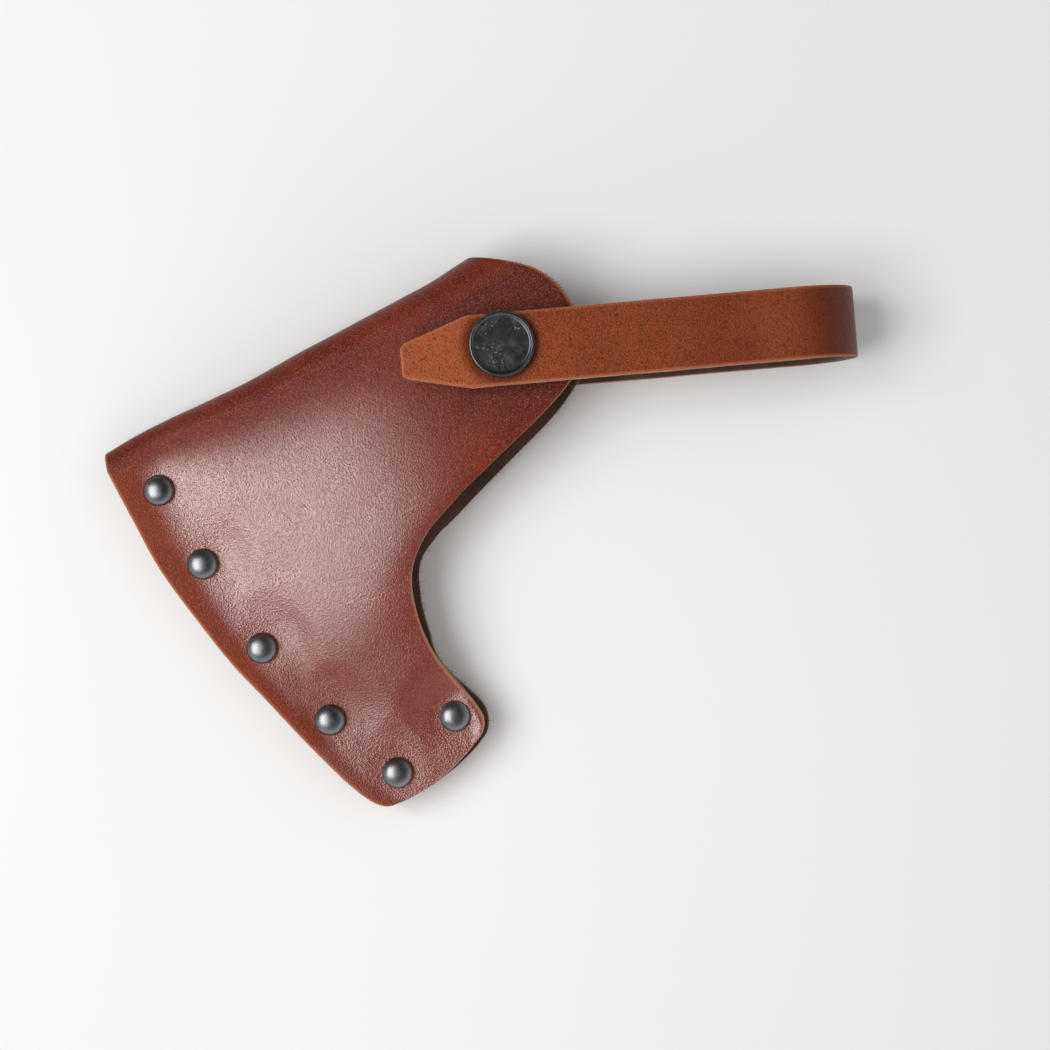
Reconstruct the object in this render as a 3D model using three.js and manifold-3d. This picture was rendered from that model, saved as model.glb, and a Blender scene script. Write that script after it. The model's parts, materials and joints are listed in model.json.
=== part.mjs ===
// Leather sheath for an axe head: one folded blank, a welt and six rivets along the cutting edge,
// and a strap that goes round the poll of the axe and snaps shut on the front panel.
// Millimetres. +X runs along the fold from toe to poll, +Y points to the fold, +Z is up.
import * as THREE from 'three';
import { ParametricGeometry } from 'three/addons/geometries/ParametricGeometry.js';
import { mergeVertices } from 'three/addons/utils/BufferGeometryUtils.js';
import Module from 'manifold-3d';

const wasm = await Module();
wasm.setup();

// Leather and the stack of layers at the riveted edge
const LEATHER = 3.0; // thickness of the panels, the welt and the strap
const HALF = LEATHER / 2;
const GAP = 0.3; // working gap between separate pieces
const BASE_HEIGHT = 1.7; // flat-set rivet base under the leather
const BACK_MID = BASE_HEIGHT + GAP + HALF; // middle of the back panel at the edge
const WELT_BOTTOM = BACK_MID + HALF + GAP;
const WELT_TOP = WELT_BOTTOM + LEATHER;
const FRONT_MID = WELT_TOP + GAP + HALF; // middle of the front panel at the edge

// How the panels open out from the riveted edge to the mouth
const FRONT_MARGIN = 10.4; // flat leather along the riveted edge
const FRONT_FOLD_MARGIN = 13.0; // and where that edge meets the fold
const BACK_MARGIN = 17.0;
const FRONT_RISE = 12.7; // rise of the front panel from the edge to the poll
const BACK_RISE = 3.5; // rise of the back panel, which rides on the strap end
const BACK_START = 0.22; // share of the way across at which the back panel starts to rise
const BACK_LEVEL = 0.7; // and at which it is level again
const FRONT_CLOSED = 0.92; // share of the mouth edge after which the panel lies on the welt
const BACK_CLOSED = 0.7;
const SEAT_FLAT = 6.5; // leather held flat round each rivet
const SEAT_END = 12.5;
const RISE_POWER = 0.72;
const RAMP_POWER = 1.0;

// Fold along the top of the axe head
const TOE_X = -88.5;
const TOE_SETBACK = 1.2;
const POLL_X = 19.5; // end of the leather at the very top of the fold
const POLL_SWEEP = 10.3; // how far the cut runs on while it goes round the fold
const POLL_BULGE = 0.15; // roundness of that cut
const HEEL_SAG = 1.5; // bow of the short heel edge
const FOLD_FADE = 0.3;

// Grid of the folded blank
const COLUMNS = 16;
const BACK_ROWS = 16;
const FOLD_ROWS = 8;
const FRONT_ROWS = 18;

// Rivets
const RIVETS = [
  [-78.9, 52.0],
  [-77.8, 30.0],
  [-74.5, 3.8],
  [-67.7, -20.7],
  [-58.8, -40.8],
  [-39.0, -34.9],
];
const RIVET_RADIUS = 4.0;
const POST_RADIUS = 1.25;
const TUBE_INNER = 1.55;
const TUBE_OUTER = 2.0;
const RIVET_HOLE = 2.3;
const DOME_HEIGHT = 2.3;
const INNER_DOME_HEIGHT = 1.5;
const RIVET_SIDES = 16;

// Strap, in its own frame: X along it from the snap to the bend, Y across it
const SNAP_X = 16.0;
const SNAP_Y = 42.4;
const STRAP_ANGLE = THREE.MathUtils.degToRad(-23);
const STRAP_WIDTH = 18.0;
const STRAP_OFFSET = -1.1; // middle of the strap from the middle of the snap
const STRAP_BOTTOM = 27.75; // underside of the front run
const STRAP_TOP = STRAP_BOTTOM + LEATHER;
const REAR_BOTTOM = BASE_HEIGHT + GAP; // underside of the rear run
const REAR_TOP = REAR_BOTTOM + LEATHER;
const BEND_Z = (STRAP_TOP + REAR_BOTTOM) / 2;
const BEND_OUTER = (STRAP_TOP - REAR_BOTTOM) / 2;
const BEND_INNER = BEND_OUTER - LEATHER;
const BEND_REACH = 90.05; // from the snap to the outside of the bend
const BEND_X = BEND_REACH - BEND_OUTER;
const SPLIT = 0.2; // half the slit between the two runs at the hinge
const TIP_X = -25.3;
const TIP_UPPER = 3.0; // corners of the blunt tip either side of the strap's middle
const TIP_LOWER = 5.2;
const TIP_TAPER = 17.0;
const TIP_ROUND = 1.4;
const REAR_END_X = -18;
const STRAP_RIVETS = [-9, 9];

// Snap fastener, heights from the table
const STUD_BOTTOM = 24.1;
const EYELET_TOP = 20.1;
const SOCKET_BOTTOM = 25.15;
const SOCKET_TOP = 27.5;
const CAP_BOTTOM = 31.0;
const SNAP_CAP_RADIUS = 8.3;
const BARREL_RADIUS = 1.5;
const EYELET_RADIUS = 1.45;
const SPRING_RADIUS = 3.35;
const SPRING_WIRE = 0.3;
const SPRING_Z = 26.1;
const SPRING_OPENING = 0.5; // radians left open in the wire ring
const SNAP_HOLE = 2.1;
const SNAP_SIDES = 20;

// Outlines of the blank, each from the fold round to the heel
const curve = (points) => new THREE.CatmullRomCurve3(
  points.map(([x, y]) => new THREE.Vector3(x, y, 0)), false, 'centripetal');
const foldLine = curve([
  [-90, 67.1], [-75, 67.7], [-60, 66.9], [-46, 66.2], [-30, 66.3], [-10, 66.2], [8, 66.2],
  [19, 67.1], [32, 67.5],
]);
const bladeEdge = curve([
  [TOE_X, 62.0], [TOE_X, 48], [-88.3, 34], [-86.1, 18.6], [-83.2, 3.1], [-80.1, -7.9],
  [-75.6, -24.3], [-71.0, -38.5], [-67.9, -44.8], [-65.3, -47.3], [-61.5, -48.0],
]);
const frontMouth = curve([
  [POLL_X + POLL_SWEEP, 58.0], [32.4, 55.4], [34.5, 52.2], [36.0, 48.4], [36.6, 43.0],
  [36.0, 36.5], [32.6, 30.6], [27.4, 26.8], [18.7, 23.4], [4.2, 19.4], [-10.4, 15.4],
  [-23, 10.3], [-30.9, 3.3], [-34.9, -6.8], [-36.0, -16.8], [-35.3, -22.5], [-34.1, -28.1],
  [-32.7, -35.3], [-32.7, -39.0], [-34.6, -41.9], [-38.5, -43.9],
]);
const backMouth = curve([
  [POLL_X + POLL_SWEEP, 58.0], [32.5, 55.4], [34.7, 52.2], [36.4, 48.4], [37.2, 43.0],
  [37.2, 36.5], [34.8, 30.6], [30.0, 26.6], [20.5, 21.8], [4.5, 16.7], [-10, 12.3],
  [-20.7, 9.0], [-28.6, 4.3], [-33.0, -4.5], [-35.0, -13.0], [-36.1, -18.7], [-35.2, -24.5],
  [-32.7, -31.3], [-31.3, -36.3], [-31.8, -39.5], [-33.6, -42.5], [-37.8, -44.8],
]);

// Share of the full rise reached at share t of the way from the margin to the mouth
const frontRamp = (t) => Math.sin((Math.PI / 2) * Math.pow(t, RAMP_POWER));
const backRamp = (t) => THREE.MathUtils.smoothstep(t, BACK_START, BACK_LEVEL);

function mouthRise(q, closed) {
  const open = Math.cos((Math.PI / 2) * Math.min(q / closed, 1));
  return Math.pow(Math.max(open, 0), RISE_POWER);
}

// Share of the rise left at a point: the rivets hold the leather down round them
function seatShare(x, y) {
  const nearest = Math.min(...RIVETS.map(([rx, ry]) => Math.hypot(x - rx, y - ry)));
  return THREE.MathUtils.smoothstep(nearest, SEAT_FLAT, SEAT_END);
}

function foldY(x) {
  const u = (x + 90) / (32 + 90);
  return foldLine.getPointAt(THREE.MathUtils.clamp(u, 0, 1)).y;
}

// Share of a panel's row that still follows the fold
const foldShare = (q) => 1 - THREE.MathUtils.smoothstep(q, 0, FOLD_FADE);

// Height of the middle of a panel, p of the way across row q
function panelHeight(front, p, q, width) {
  const frontMargin = THREE.MathUtils.lerp(FRONT_MARGIN, FRONT_FOLD_MARGIN, foldShare(q));
  const margin = front ? frontMargin : BACK_MARGIN;
  const t = THREE.MathUtils.clamp((p * width - margin) / (width - margin), 0, 1);
  if (front) {
    return FRONT_MID + FRONT_RISE * mouthRise(q, FRONT_CLOSED) * frontRamp(t);
  }
  return BACK_MID + BACK_RISE * mouthRise(q, BACK_CLOSED) * backRamp(t);
}

// Heights of both panels where they meet the fold
function foldHeights(p) {
  const width = bladeEdge.getPointAt(0).distanceTo(frontMouth.getPointAt(0));
  return [panelHeight(true, p, 0, width), panelHeight(false, p, 0, width)];
}

// Angle runs from -90 degrees at the back panel to +90 degrees at the front panel
function foldPoint(p, angle) {
  const [high, low] = foldHeights(p);
  const radius = (high - low) / 2;
  const left = TOE_X + TOE_SETBACK * Math.cos(angle);
  const reach = 1 - Math.cos(angle);
  const right = POLL_X + POLL_SWEEP * reach * (1 + POLL_BULGE * (1 - reach));
  const x = THREE.MathUtils.lerp(left, right, p);
  const y = foldY(x) - HALF - radius * (1 - Math.cos(angle));
  return new THREE.Vector3(x, y, (high + low) / 2 + radius * Math.sin(angle));
}

function panelPoint(front, p, q) {
  const mouth = front ? frontMouth : backMouth;
  const left = bladeEdge.getPointAt(q);
  const right = mouth.getPointAt(q);
  const point = left.clone().lerp(right, p);
  const fade = foldShare(q);
  const start = bladeEdge.getPointAt(0).lerp(mouth.getPointAt(0), p);
  point.y += (foldPoint(p, Math.PI / 2).y - start.y) * fade;
  point.y -= HEEL_SAG * 4 * p * (1 - p) * THREE.MathUtils.smoothstep(q, 1 - FOLD_FADE, 1);
  const edge = front ? FRONT_MID : BACK_MID;
  const rise = panelHeight(front, p, q, left.distanceTo(right)) - edge;
  point.z = edge + rise * THREE.MathUtils.lerp(seatShare(point.x, point.y), 1, fade);
  return point;
}

// Middle surface of the blank: w from 0 to 1 is the back panel, to 2 the fold, to 3 the front
function blankPoint(p, w) {
  if (w < 1) {
    return panelPoint(false, p, 1 - w);
  }
  if (w <= 2) {
    return foldPoint(p, (w - 1.5) * Math.PI);
  }
  return panelPoint(true, p, w - 2);
}

function blankNormal(p, w) {
  const step = 0.004;
  const along = (a, b) => blankPoint(b, w).sub(blankPoint(a, w));
  const down = (a, b) => blankPoint(p, b).sub(blankPoint(p, a));
  const across = along(Math.max(p - step, 0), Math.min(p + step, 1));
  const length = down(Math.max(w - step, 0), Math.min(w + step, 3));
  return length.cross(across).normalize();
}

const blankRows = [];
for (let i = 0; i < BACK_ROWS; i += 1) {
  blankRows.push(i / BACK_ROWS);
}
for (let i = 0; i < FOLD_ROWS; i += 1) {
  blankRows.push(1 + i / FOLD_ROWS);
}
for (let i = 0; i <= FRONT_ROWS; i += 1) {
  blankRows.push(2 + i / FRONT_ROWS);
}

// Closed leather sheet: each row goes across the outer face and back across the inner face,
// and the first and last rows close onto the middle surface
function blankGeometry() {
  const around = 2 * COLUMNS + 2;
  const down = blankRows.length + 1;
  const place = (u, v, target) => {
    const i = (around - Math.round(u * around)) % around;
    const k = Math.round(v * down);
    const outer = i <= COLUMNS;
    const p = outer ? i / COLUMNS : (2 * COLUMNS + 1 - i) / COLUMNS;
    const w = blankRows[THREE.MathUtils.clamp(k - 1, 0, blankRows.length - 1)];
    target.copy(blankPoint(p, w));
    if (k > 0 && k < down) {
      target.addScaledVector(blankNormal(p, w), outer ? HALF : -HALF);
    }
  };
  return new ParametricGeometry(place, around, down);
}

// Solids
function solid(geometry) {
  geometry.deleteAttribute('normal');
  geometry.deleteAttribute('uv');
  const merged = mergeVertices(geometry, 1e-4);
  const mesh = new wasm.Mesh({
    numProp: 3,
    vertProperties: new Float32Array(merged.attributes.position.array),
    triVerts: new Uint32Array(merged.index.array),
  });
  return new wasm.Manifold(mesh);
}

function geometryOf(manifold) {
  const mesh = manifold.getMesh();
  const geometry = new THREE.BufferGeometry();
  geometry.setAttribute('position', new THREE.BufferAttribute(mesh.vertProperties, 3));
  geometry.setIndex(new THREE.BufferAttribute(mesh.triVerts, 1));
  geometry.computeVertexNormals();
  return geometry;
}

// A round piece about Z from its [radius, height] profile
function turned(profile, sides) {
  const points = profile.map(([r, z]) => new THREE.Vector2(r, z));
  return new THREE.LatheGeometry(points, sides).rotateX(Math.PI / 2);
}

function drill(x, y, radius, from, to) {
  const cylinder = new THREE.CylinderGeometry(radius, radius, to - from, RIVET_SIDES);
  return solid(cylinder.rotateX(Math.PI / 2).translate(x, y, (from + to) / 2));
}

const drilled = (manifold, holes) => holes.reduce((left, hole) => left.subtract(hole), manifold);

// Strap frame to sheath frame
function onStrap(x, y) {
  const cos = Math.cos(STRAP_ANGLE);
  const sin = Math.sin(STRAP_ANGLE);
  return [SNAP_X + x * cos - y * sin, SNAP_Y + x * sin + y * cos];
}

const strapRivets = STRAP_RIVETS.map((x) => onStrap(x, STRAP_OFFSET));

function sheathBody() {
  const edgeHoles = RIVETS.map(([x, y]) => drill(x, y, RIVET_HOLE, 0, STRAP_TOP));
  const rearHoles = strapRivets.map(([x, y]) => drill(x, y, RIVET_HOLE, 0, FRONT_MID));
  const snapHole = drill(SNAP_X, SNAP_Y, SNAP_HOLE, BEND_Z, STRAP_TOP);
  return geometryOf(drilled(solid(blankGeometry()), [...edgeHoles, ...rearHoles, snapHole]));
}

// Welt: a strip that follows the cutting edge and the heel between the panels
function weltStrip() {
  const inset = 0.5;
  const shape = new THREE.Shape();
  shape.moveTo(TOE_X + inset, 58);
  const outer = [[-88.0, 48], [-87.8, 34], [-85.6, 18.8], [-82.7, 3.3], [-79.6, -7.8],
    [-75.1, -24.1], [-70.5, -38.2], [-67.4, -44.3], [-65.0, -46.7], [-61.5, -47.4]];
  shape.splineThru(outer.map(([x, y]) => new THREE.Vector2(x, y)));
  shape.quadraticCurveTo(-48, -46.9, -38.4, -43.3);
  shape.quadraticCurveTo(-32.8, -41.4, -33.5, -36.0);
  shape.lineTo(-34.7, -29.0);
  shape.lineTo(-45.0, -30.6);
  const inner = [[-53.5, -31.2], [-58.6, -27.0], [-64.2, -13], [-69.6, 8], [-73.0, 30], [-74.0, 58]];
  shape.splineThru(inner.map(([x, y]) => new THREE.Vector2(x, y)));
  const options = { depth: LEATHER, bevelEnabled: false, curveSegments: 2 };
  const strip = new THREE.ExtrudeGeometry(shape, options).translate(0, 0, WELT_BOTTOM);
  const holes = RIVETS.map(([x, y]) => drill(x, y, RIVET_HOLE, 0, STRAP_TOP));
  return geometryOf(drilled(solid(strip), holes));
}

// Side view of one run, from its free end to the outermost point of the bend
function strapSide(front) {
  const sign = front ? 1 : -1;
  const end = front ? TIP_X : REAR_END_X;
  const inner = BEND_Z + sign * BEND_INNER;
  const outer = BEND_Z + sign * BEND_OUTER;
  const innerSlit = Math.asin(SPLIT / BEND_INNER) * sign;
  const outerSlit = Math.asin(SPLIT / BEND_OUTER) * sign;
  const shape = new THREE.Shape();
  shape.moveTo(end, inner);
  shape.lineTo(BEND_X, inner);
  shape.absarc(BEND_X, BEND_Z, BEND_INNER, (sign * Math.PI) / 2, innerSlit, front);
  shape.absarc(BEND_X, BEND_Z, BEND_OUTER, outerSlit, (sign * Math.PI) / 2, !front);
  shape.lineTo(end, outer);
  shape.closePath();
  const options = { depth: STRAP_WIDTH, bevelEnabled: false, curveSegments: 9 };
  const run = new THREE.ExtrudeGeometry(shape, options);
  return solid(run.rotateX(Math.PI / 2).translate(0, STRAP_WIDTH / 2, 0));
}

// Plan view of a strap end, as a tall prism to cut the run with
function strapPlan(end, upper, lower, taper) {
  const side = STRAP_WIDTH / 2;
  const upperLean = (TIP_ROUND * (side - upper)) / taper;
  const lowerLean = (TIP_ROUND * (side - lower)) / taper;
  const shape = new THREE.Shape();
  shape.moveTo(end, -lower + TIP_ROUND);
  shape.quadraticCurveTo(end, -lower, end + TIP_ROUND, -lower - lowerLean);
  shape.lineTo(end + taper, -side);
  shape.lineTo(BEND_REACH + 1, -side);
  shape.lineTo(BEND_REACH + 1, side);
  shape.lineTo(end + taper, side);
  shape.lineTo(end + TIP_ROUND, upper + upperLean);
  shape.quadraticCurveTo(end, upper, end, upper - TIP_ROUND);
  shape.closePath();
  const options = { depth: STRAP_TOP + 1, bevelEnabled: false, curveSegments: 3 };
  return solid(new THREE.ExtrudeGeometry(shape, options));
}

function strapFront() {
  const run = strapSide(true).intersect(strapPlan(TIP_X, TIP_UPPER, TIP_LOWER, TIP_TAPER));
  return geometryOf(run.subtract(drill(0, -STRAP_OFFSET, SNAP_HOLE, BEND_Z, STRAP_TOP + 1)));
}

function strapRear() {
  const corner = STRAP_WIDTH / 2 - TIP_ROUND;
  const run = strapSide(false).intersect(strapPlan(REAR_END_X, corner, corner, 2 * TIP_ROUND));
  const holes = STRAP_RIVETS.map((x) => drill(x, 0, RIVET_HOLE, 0, BEND_Z));
  return geometryOf(drilled(run, holes));
}

// Domed rivet cap with the post under it
function rivetCap(under, dome) {
  const postEnd = BASE_HEIGHT + 1.5;
  return turned([
    [0, postEnd], [POST_RADIUS, postEnd], [POST_RADIUS, under], [RIVET_RADIUS * 0.95, under],
    [RIVET_RADIUS, under + dome * 0.16], [RIVET_RADIUS * 0.9, under + dome * 0.54],
    [RIVET_RADIUS * 0.66, under + dome * 0.82], [RIVET_RADIUS * 0.34, under + dome * 0.96],
    [0, under + dome],
  ], RIVET_SIDES);
}

// Rivet base: flat underneath, with the tube that takes the post
function rivetBase(tubeTop) {
  return turned([
    [0, 0], [RIVET_RADIUS * 0.8, 0], [RIVET_RADIUS * 0.97, 0.4], [RIVET_RADIUS, BASE_HEIGHT - 0.4],
    [RIVET_RADIUS * 0.95, BASE_HEIGHT], [TUBE_OUTER, BASE_HEIGHT], [TUBE_OUTER, tubeTop],
    [TUBE_INNER, tubeTop], [TUBE_INNER, BASE_HEIGHT - 0.5], [0, BASE_HEIGHT - 0.5],
  ], RIVET_SIDES);
}

function snapCap() {
  const face = CAP_BOTTOM + 1.45;
  const rim = CAP_BOTTOM + 1.9;
  return turned([
    [0, SOCKET_TOP - 0.4], [BARREL_RADIUS, SOCKET_TOP - 0.4], [BARREL_RADIUS, CAP_BOTTOM],
    [SNAP_CAP_RADIUS - 0.4, CAP_BOTTOM], [SNAP_CAP_RADIUS, CAP_BOTTOM + 0.4],
    [SNAP_CAP_RADIUS, rim - 0.8], [SNAP_CAP_RADIUS - 0.4, rim - 0.2], [SNAP_CAP_RADIUS - 0.9, rim],
    [SNAP_CAP_RADIUS - 1.4, face], [0, face],
  ], SNAP_SIDES + 4);
}

function snapSocket() {
  const plate = SOCKET_TOP - 0.5;
  return turned([
    [BARREL_RADIUS + 0.45, plate], [4.0, plate], [4.0, SOCKET_BOTTOM + 0.45],
    [3.4, SOCKET_BOTTOM + 0.35], [3.4, SOCKET_BOTTOM], [4.5, SOCKET_BOTTOM],
    [4.9, SOCKET_BOTTOM + 0.25], [5.2, SOCKET_TOP - 0.7], [6.3, SOCKET_TOP - 0.4],
    [6.2, SOCKET_TOP], [BARREL_RADIUS + 0.45, SOCKET_TOP], [BARREL_RADIUS + 0.45, plate],
  ], SNAP_SIDES);
}

function snapSpring() {
  const ring = [];
  const turns = 16;
  for (let i = 0; i <= turns; i += 1) {
    const angle = SPRING_OPENING / 2 + (i / turns) * (2 * Math.PI - SPRING_OPENING);
    ring.push(new THREE.Vector3(SPRING_RADIUS * Math.cos(angle), SPRING_RADIUS * Math.sin(angle), 0));
  }
  const wire = new THREE.Shape().absarc(0, 0, SPRING_WIRE, 0, 2 * Math.PI, false);
  const options = { steps: turns, extrudePath: new THREE.CatmullRomCurve3(ring), curveSegments: 3 };
  return new THREE.ExtrudeGeometry(wire, options);
}

function snapStud() {
  const flange = STUD_BOTTOM + 0.7;
  const bore = EYELET_RADIUS + 0.3;
  return turned([
    [bore, STUD_BOTTOM], [5.2, STUD_BOTTOM], [5.4, STUD_BOTTOM + 0.4], [5.2, flange],
    [2.6, flange], [2.35, flange + 0.6], [2.75, flange + 1.3], [2.45, flange + 1.9],
    [bore, flange + 2.0], [bore, STUD_BOTTOM],
  ], SNAP_SIDES - 2);
}

function snapEyelet() {
  const bottom = EYELET_TOP - 0.6;
  const bore = EYELET_RADIUS - 0.45;
  return turned([
    [bore, bottom], [4.6, bottom], [5.0, EYELET_TOP - 0.3], [4.8, EYELET_TOP],
    [EYELET_RADIUS, EYELET_TOP], [EYELET_RADIUS, STUD_BOTTOM + 2.1], [bore, STUD_BOTTOM + 2.1],
    [bore, bottom],
  ], SNAP_SIDES - 4);
}

// Assembly
const BODY_LEATHER = { color: 0x5a2018, roughness: 0.42, metalness: 0 };
const STRAP_LEATHER = { color: 0x7a2f16, roughness: 0.5, metalness: 0 };
const WELT_LEATHER = { color: 0x8a5a38, roughness: 0.8, metalness: 0 };
const GUNMETAL = { color: 0x26282b, roughness: 0.32, metalness: 1 };
const BLACKENED = { color: 0x17191c, roughness: 0.4, metalness: 1 };
const SPRING_STEEL = { color: 0x8d8f92, roughness: 0.3, metalness: 1 };

function piece(name, geometry, look, x = 0, y = 0) {
  const mesh = new THREE.Mesh(geometry, new THREE.MeshStandardMaterial(look));
  mesh.name = name;
  mesh.position.set(x, y, 0);
  return mesh;
}

const sheath = new THREE.Group();
sheath.add(piece('leather_body', sheathBody(), BODY_LEATHER));
sheath.add(piece('welt_strip', weltStrip(), WELT_LEATHER));
const capUnder = FRONT_MID + HALF + GAP;
RIVETS.forEach(([x, y], i) => {
  sheath.add(piece(`rivet_cap_${i + 1}`, rivetCap(capUnder, DOME_HEIGHT), GUNMETAL, x, y));
  sheath.add(piece(`rivet_base_${i + 1}`, rivetBase(FRONT_MID - 1), GUNMETAL, x, y));
});

const strap = new THREE.Group();
strap.position.set(SNAP_X, SNAP_Y, 0);
strap.rotation.z = STRAP_ANGLE;
strap.add(piece('strap_rear_run', strapRear(), STRAP_LEATHER, 0, STRAP_OFFSET));
strap.add(piece('strap_front_run', strapFront(), STRAP_LEATHER, 0, STRAP_OFFSET));
const innerUnder = BACK_MID + BACK_RISE + HALF + GAP;
STRAP_RIVETS.forEach((x, i) => {
  const cap = rivetCap(innerUnder, INNER_DOME_HEIGHT);
  const base = rivetBase(innerUnder - 1.5);
  strap.add(piece(`strap_rivet_cap_${i + 1}`, cap, GUNMETAL, x, STRAP_OFFSET));
  strap.add(piece(`strap_rivet_base_${i + 1}`, base, GUNMETAL, x, STRAP_OFFSET));
});
strap.add(piece('snap_cap', snapCap(), BLACKENED));
strap.add(piece('snap_socket', snapSocket(), BLACKENED));
const spring = piece('snap_spring', snapSpring(), SPRING_STEEL);
spring.position.z = SPRING_Z;
strap.add(spring);
strap.add(piece('snap_stud', snapStud(), BLACKENED));
strap.add(piece('snap_eyelet', snapEyelet(), BLACKENED));
sheath.add(strap);

// The row frame sits under the middle of the whole part
sheath.updateMatrixWorld(true);
const middle = new THREE.Box3().setFromObject(sheath, true).getCenter(new THREE.Vector3());
sheath.position.set(-middle.x, -middle.y, 0);

export default sheath;
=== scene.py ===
import json
import math

import bpy
import numpy as np
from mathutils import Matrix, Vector


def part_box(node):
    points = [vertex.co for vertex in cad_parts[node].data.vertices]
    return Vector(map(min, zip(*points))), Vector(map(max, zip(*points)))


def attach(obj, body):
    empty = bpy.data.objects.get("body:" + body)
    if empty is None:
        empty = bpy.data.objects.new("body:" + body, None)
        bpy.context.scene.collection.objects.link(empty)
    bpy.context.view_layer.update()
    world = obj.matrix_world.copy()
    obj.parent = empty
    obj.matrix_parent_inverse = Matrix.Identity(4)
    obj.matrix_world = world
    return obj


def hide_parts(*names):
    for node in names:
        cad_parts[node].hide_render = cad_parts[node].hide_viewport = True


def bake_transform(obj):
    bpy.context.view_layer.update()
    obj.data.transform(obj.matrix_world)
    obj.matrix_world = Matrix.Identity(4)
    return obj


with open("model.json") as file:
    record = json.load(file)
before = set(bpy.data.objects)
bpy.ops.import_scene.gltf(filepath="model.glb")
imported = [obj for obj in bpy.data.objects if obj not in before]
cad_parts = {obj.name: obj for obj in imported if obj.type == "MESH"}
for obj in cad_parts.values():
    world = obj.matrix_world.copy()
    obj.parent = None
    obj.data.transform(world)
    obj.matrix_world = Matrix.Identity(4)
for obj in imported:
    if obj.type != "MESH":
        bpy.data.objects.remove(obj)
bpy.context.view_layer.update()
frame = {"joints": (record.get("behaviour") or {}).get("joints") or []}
MM = 0.001
rng = np.random.default_rng(7)

# ---------------------------------------------------------------- where things are
RIVETS = np.array([
    (-78.9, 52.0), (-77.8, 30.0), (-74.5, 3.8), (-67.7, -20.7), (-58.8, -40.8), (-39.0, -34.9),
])


def centre(node):
    lo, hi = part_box(node)
    return (lo + hi) / 2


first = centre("rivet_cap_1")
OX, OY = first.x / MM - RIVETS[0][0], first.y / MM - RIVETS[0][1]
snap = centre("snap_stud")
SNAP = np.array([snap.x / MM - OX, snap.y / MM - OY])
joint = frame["joints"][0]
NX, NY = joint["axis"][0], joint["axis"][1]
U = np.array([NY, -NX])  # along the strap, from the snap to the bend
N = np.array([NX, NY])  # across the strap
HINGE = np.array(joint["pos_m"]) / MM
LEATHER = 3.0
HALF = LEATHER / 2
BACK_MID, FRONT_MID = 3.5, 10.1
WELT_BOTTOM = 5.3


def to_row(points):
    """Millimetres in the drawing frame to metres in the row frame."""
    out = np.array(points, float) * MM
    out[..., 0] += OX * MM
    out[..., 1] += OY * MM
    return out


def on_strap(s, w):
    return SNAP[0] + s * U[0] + w * N[0], SNAP[1] + s * U[1] + w * N[1]


# ---------------------------------------------------------------- small maths
def smooth(t, a=0.0, b=1.0):
    t = np.clip((t - a) / (b - a), 0, 1)
    return t * t * (3 - 2 * t)


def lattice(ix, iy, iz, seed):
    n = (ix * 374761393 + iy * 668265263 + iz * 2147483647 + seed * 1274126177) & 0xFFFFFFFF
    n = ((n ^ (n >> 13)) * 1274126177) & 0xFFFFFFFF
    return ((n ^ (n >> 16)) & 0xFFFF) / 65535.0


def value_noise(p, scale, seed=0):
    """Smooth noise from -1 to 1 at points p, with features scale millimetres across."""
    q = np.asarray(p, float) / scale + 1000.0
    i = np.floor(q).astype(np.int64)
    f = q - i
    f = f * f * (3 - 2 * f)
    total = 0
    for dx in (0, 1):
        for dy in (0, 1):
            for dz in (0, 1):
                wx = f[..., 0] if dx else 1 - f[..., 0]
                wy = f[..., 1] if dy else 1 - f[..., 1]
                wz = f[..., 2] if dz else 1 - f[..., 2]
                total = total + wx * wy * wz * lattice(i[..., 0] + dx, i[..., 1] + dy, i[..., 2] + dz, seed)
    return total * 2 - 1


class Curve:
    """Centripetal Catmull-Rom curve through points, walked by its share of the length."""

    def __init__(self, points, per=30):
        pts = [np.array(p, float) for p in points]
        pts = [2 * pts[0] - pts[1]] + pts + [2 * pts[-1] - pts[-2]]
        out = []
        for i in range(1, len(pts) - 2):
            p0, p1, p2, p3 = pts[i - 1 : i + 3]
            pairs = ((p0, p1), (p1, p2), (p2, p3))
            d0, d1, d2 = [max(np.linalg.norm(b - a) ** 0.5, 1e-6) for a, b in pairs]
            m1 = ((p1 - p0) / d0 - (p2 - p0) / (d0 + d1) + (p2 - p1) / d1) * d1
            m2 = ((p2 - p1) / d1 - (p3 - p1) / (d1 + d2) + (p3 - p2) / d2) * d1
            t = np.linspace(0, 1, per, endpoint=False)[:, None]
            h = (2 * t**3 - 3 * t**2 + 1, t**3 - 2 * t**2 + t, -2 * t**3 + 3 * t**2, t**3 - t**2)
            out.append(h[0] * p1 + h[1] * m1 + h[2] * p2 + h[3] * m2)
        self.p = np.vstack(out + [pts[-2][None]])
        along = np.r_[0, np.cumsum(np.linalg.norm(np.diff(self.p, axis=0), axis=1))]
        self.length = along[-1]
        self.u = along / along[-1]

    def at(self, u):
        return np.stack([np.interp(u, self.u, self.p[:, k]) for k in range(2)], -1)


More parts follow.
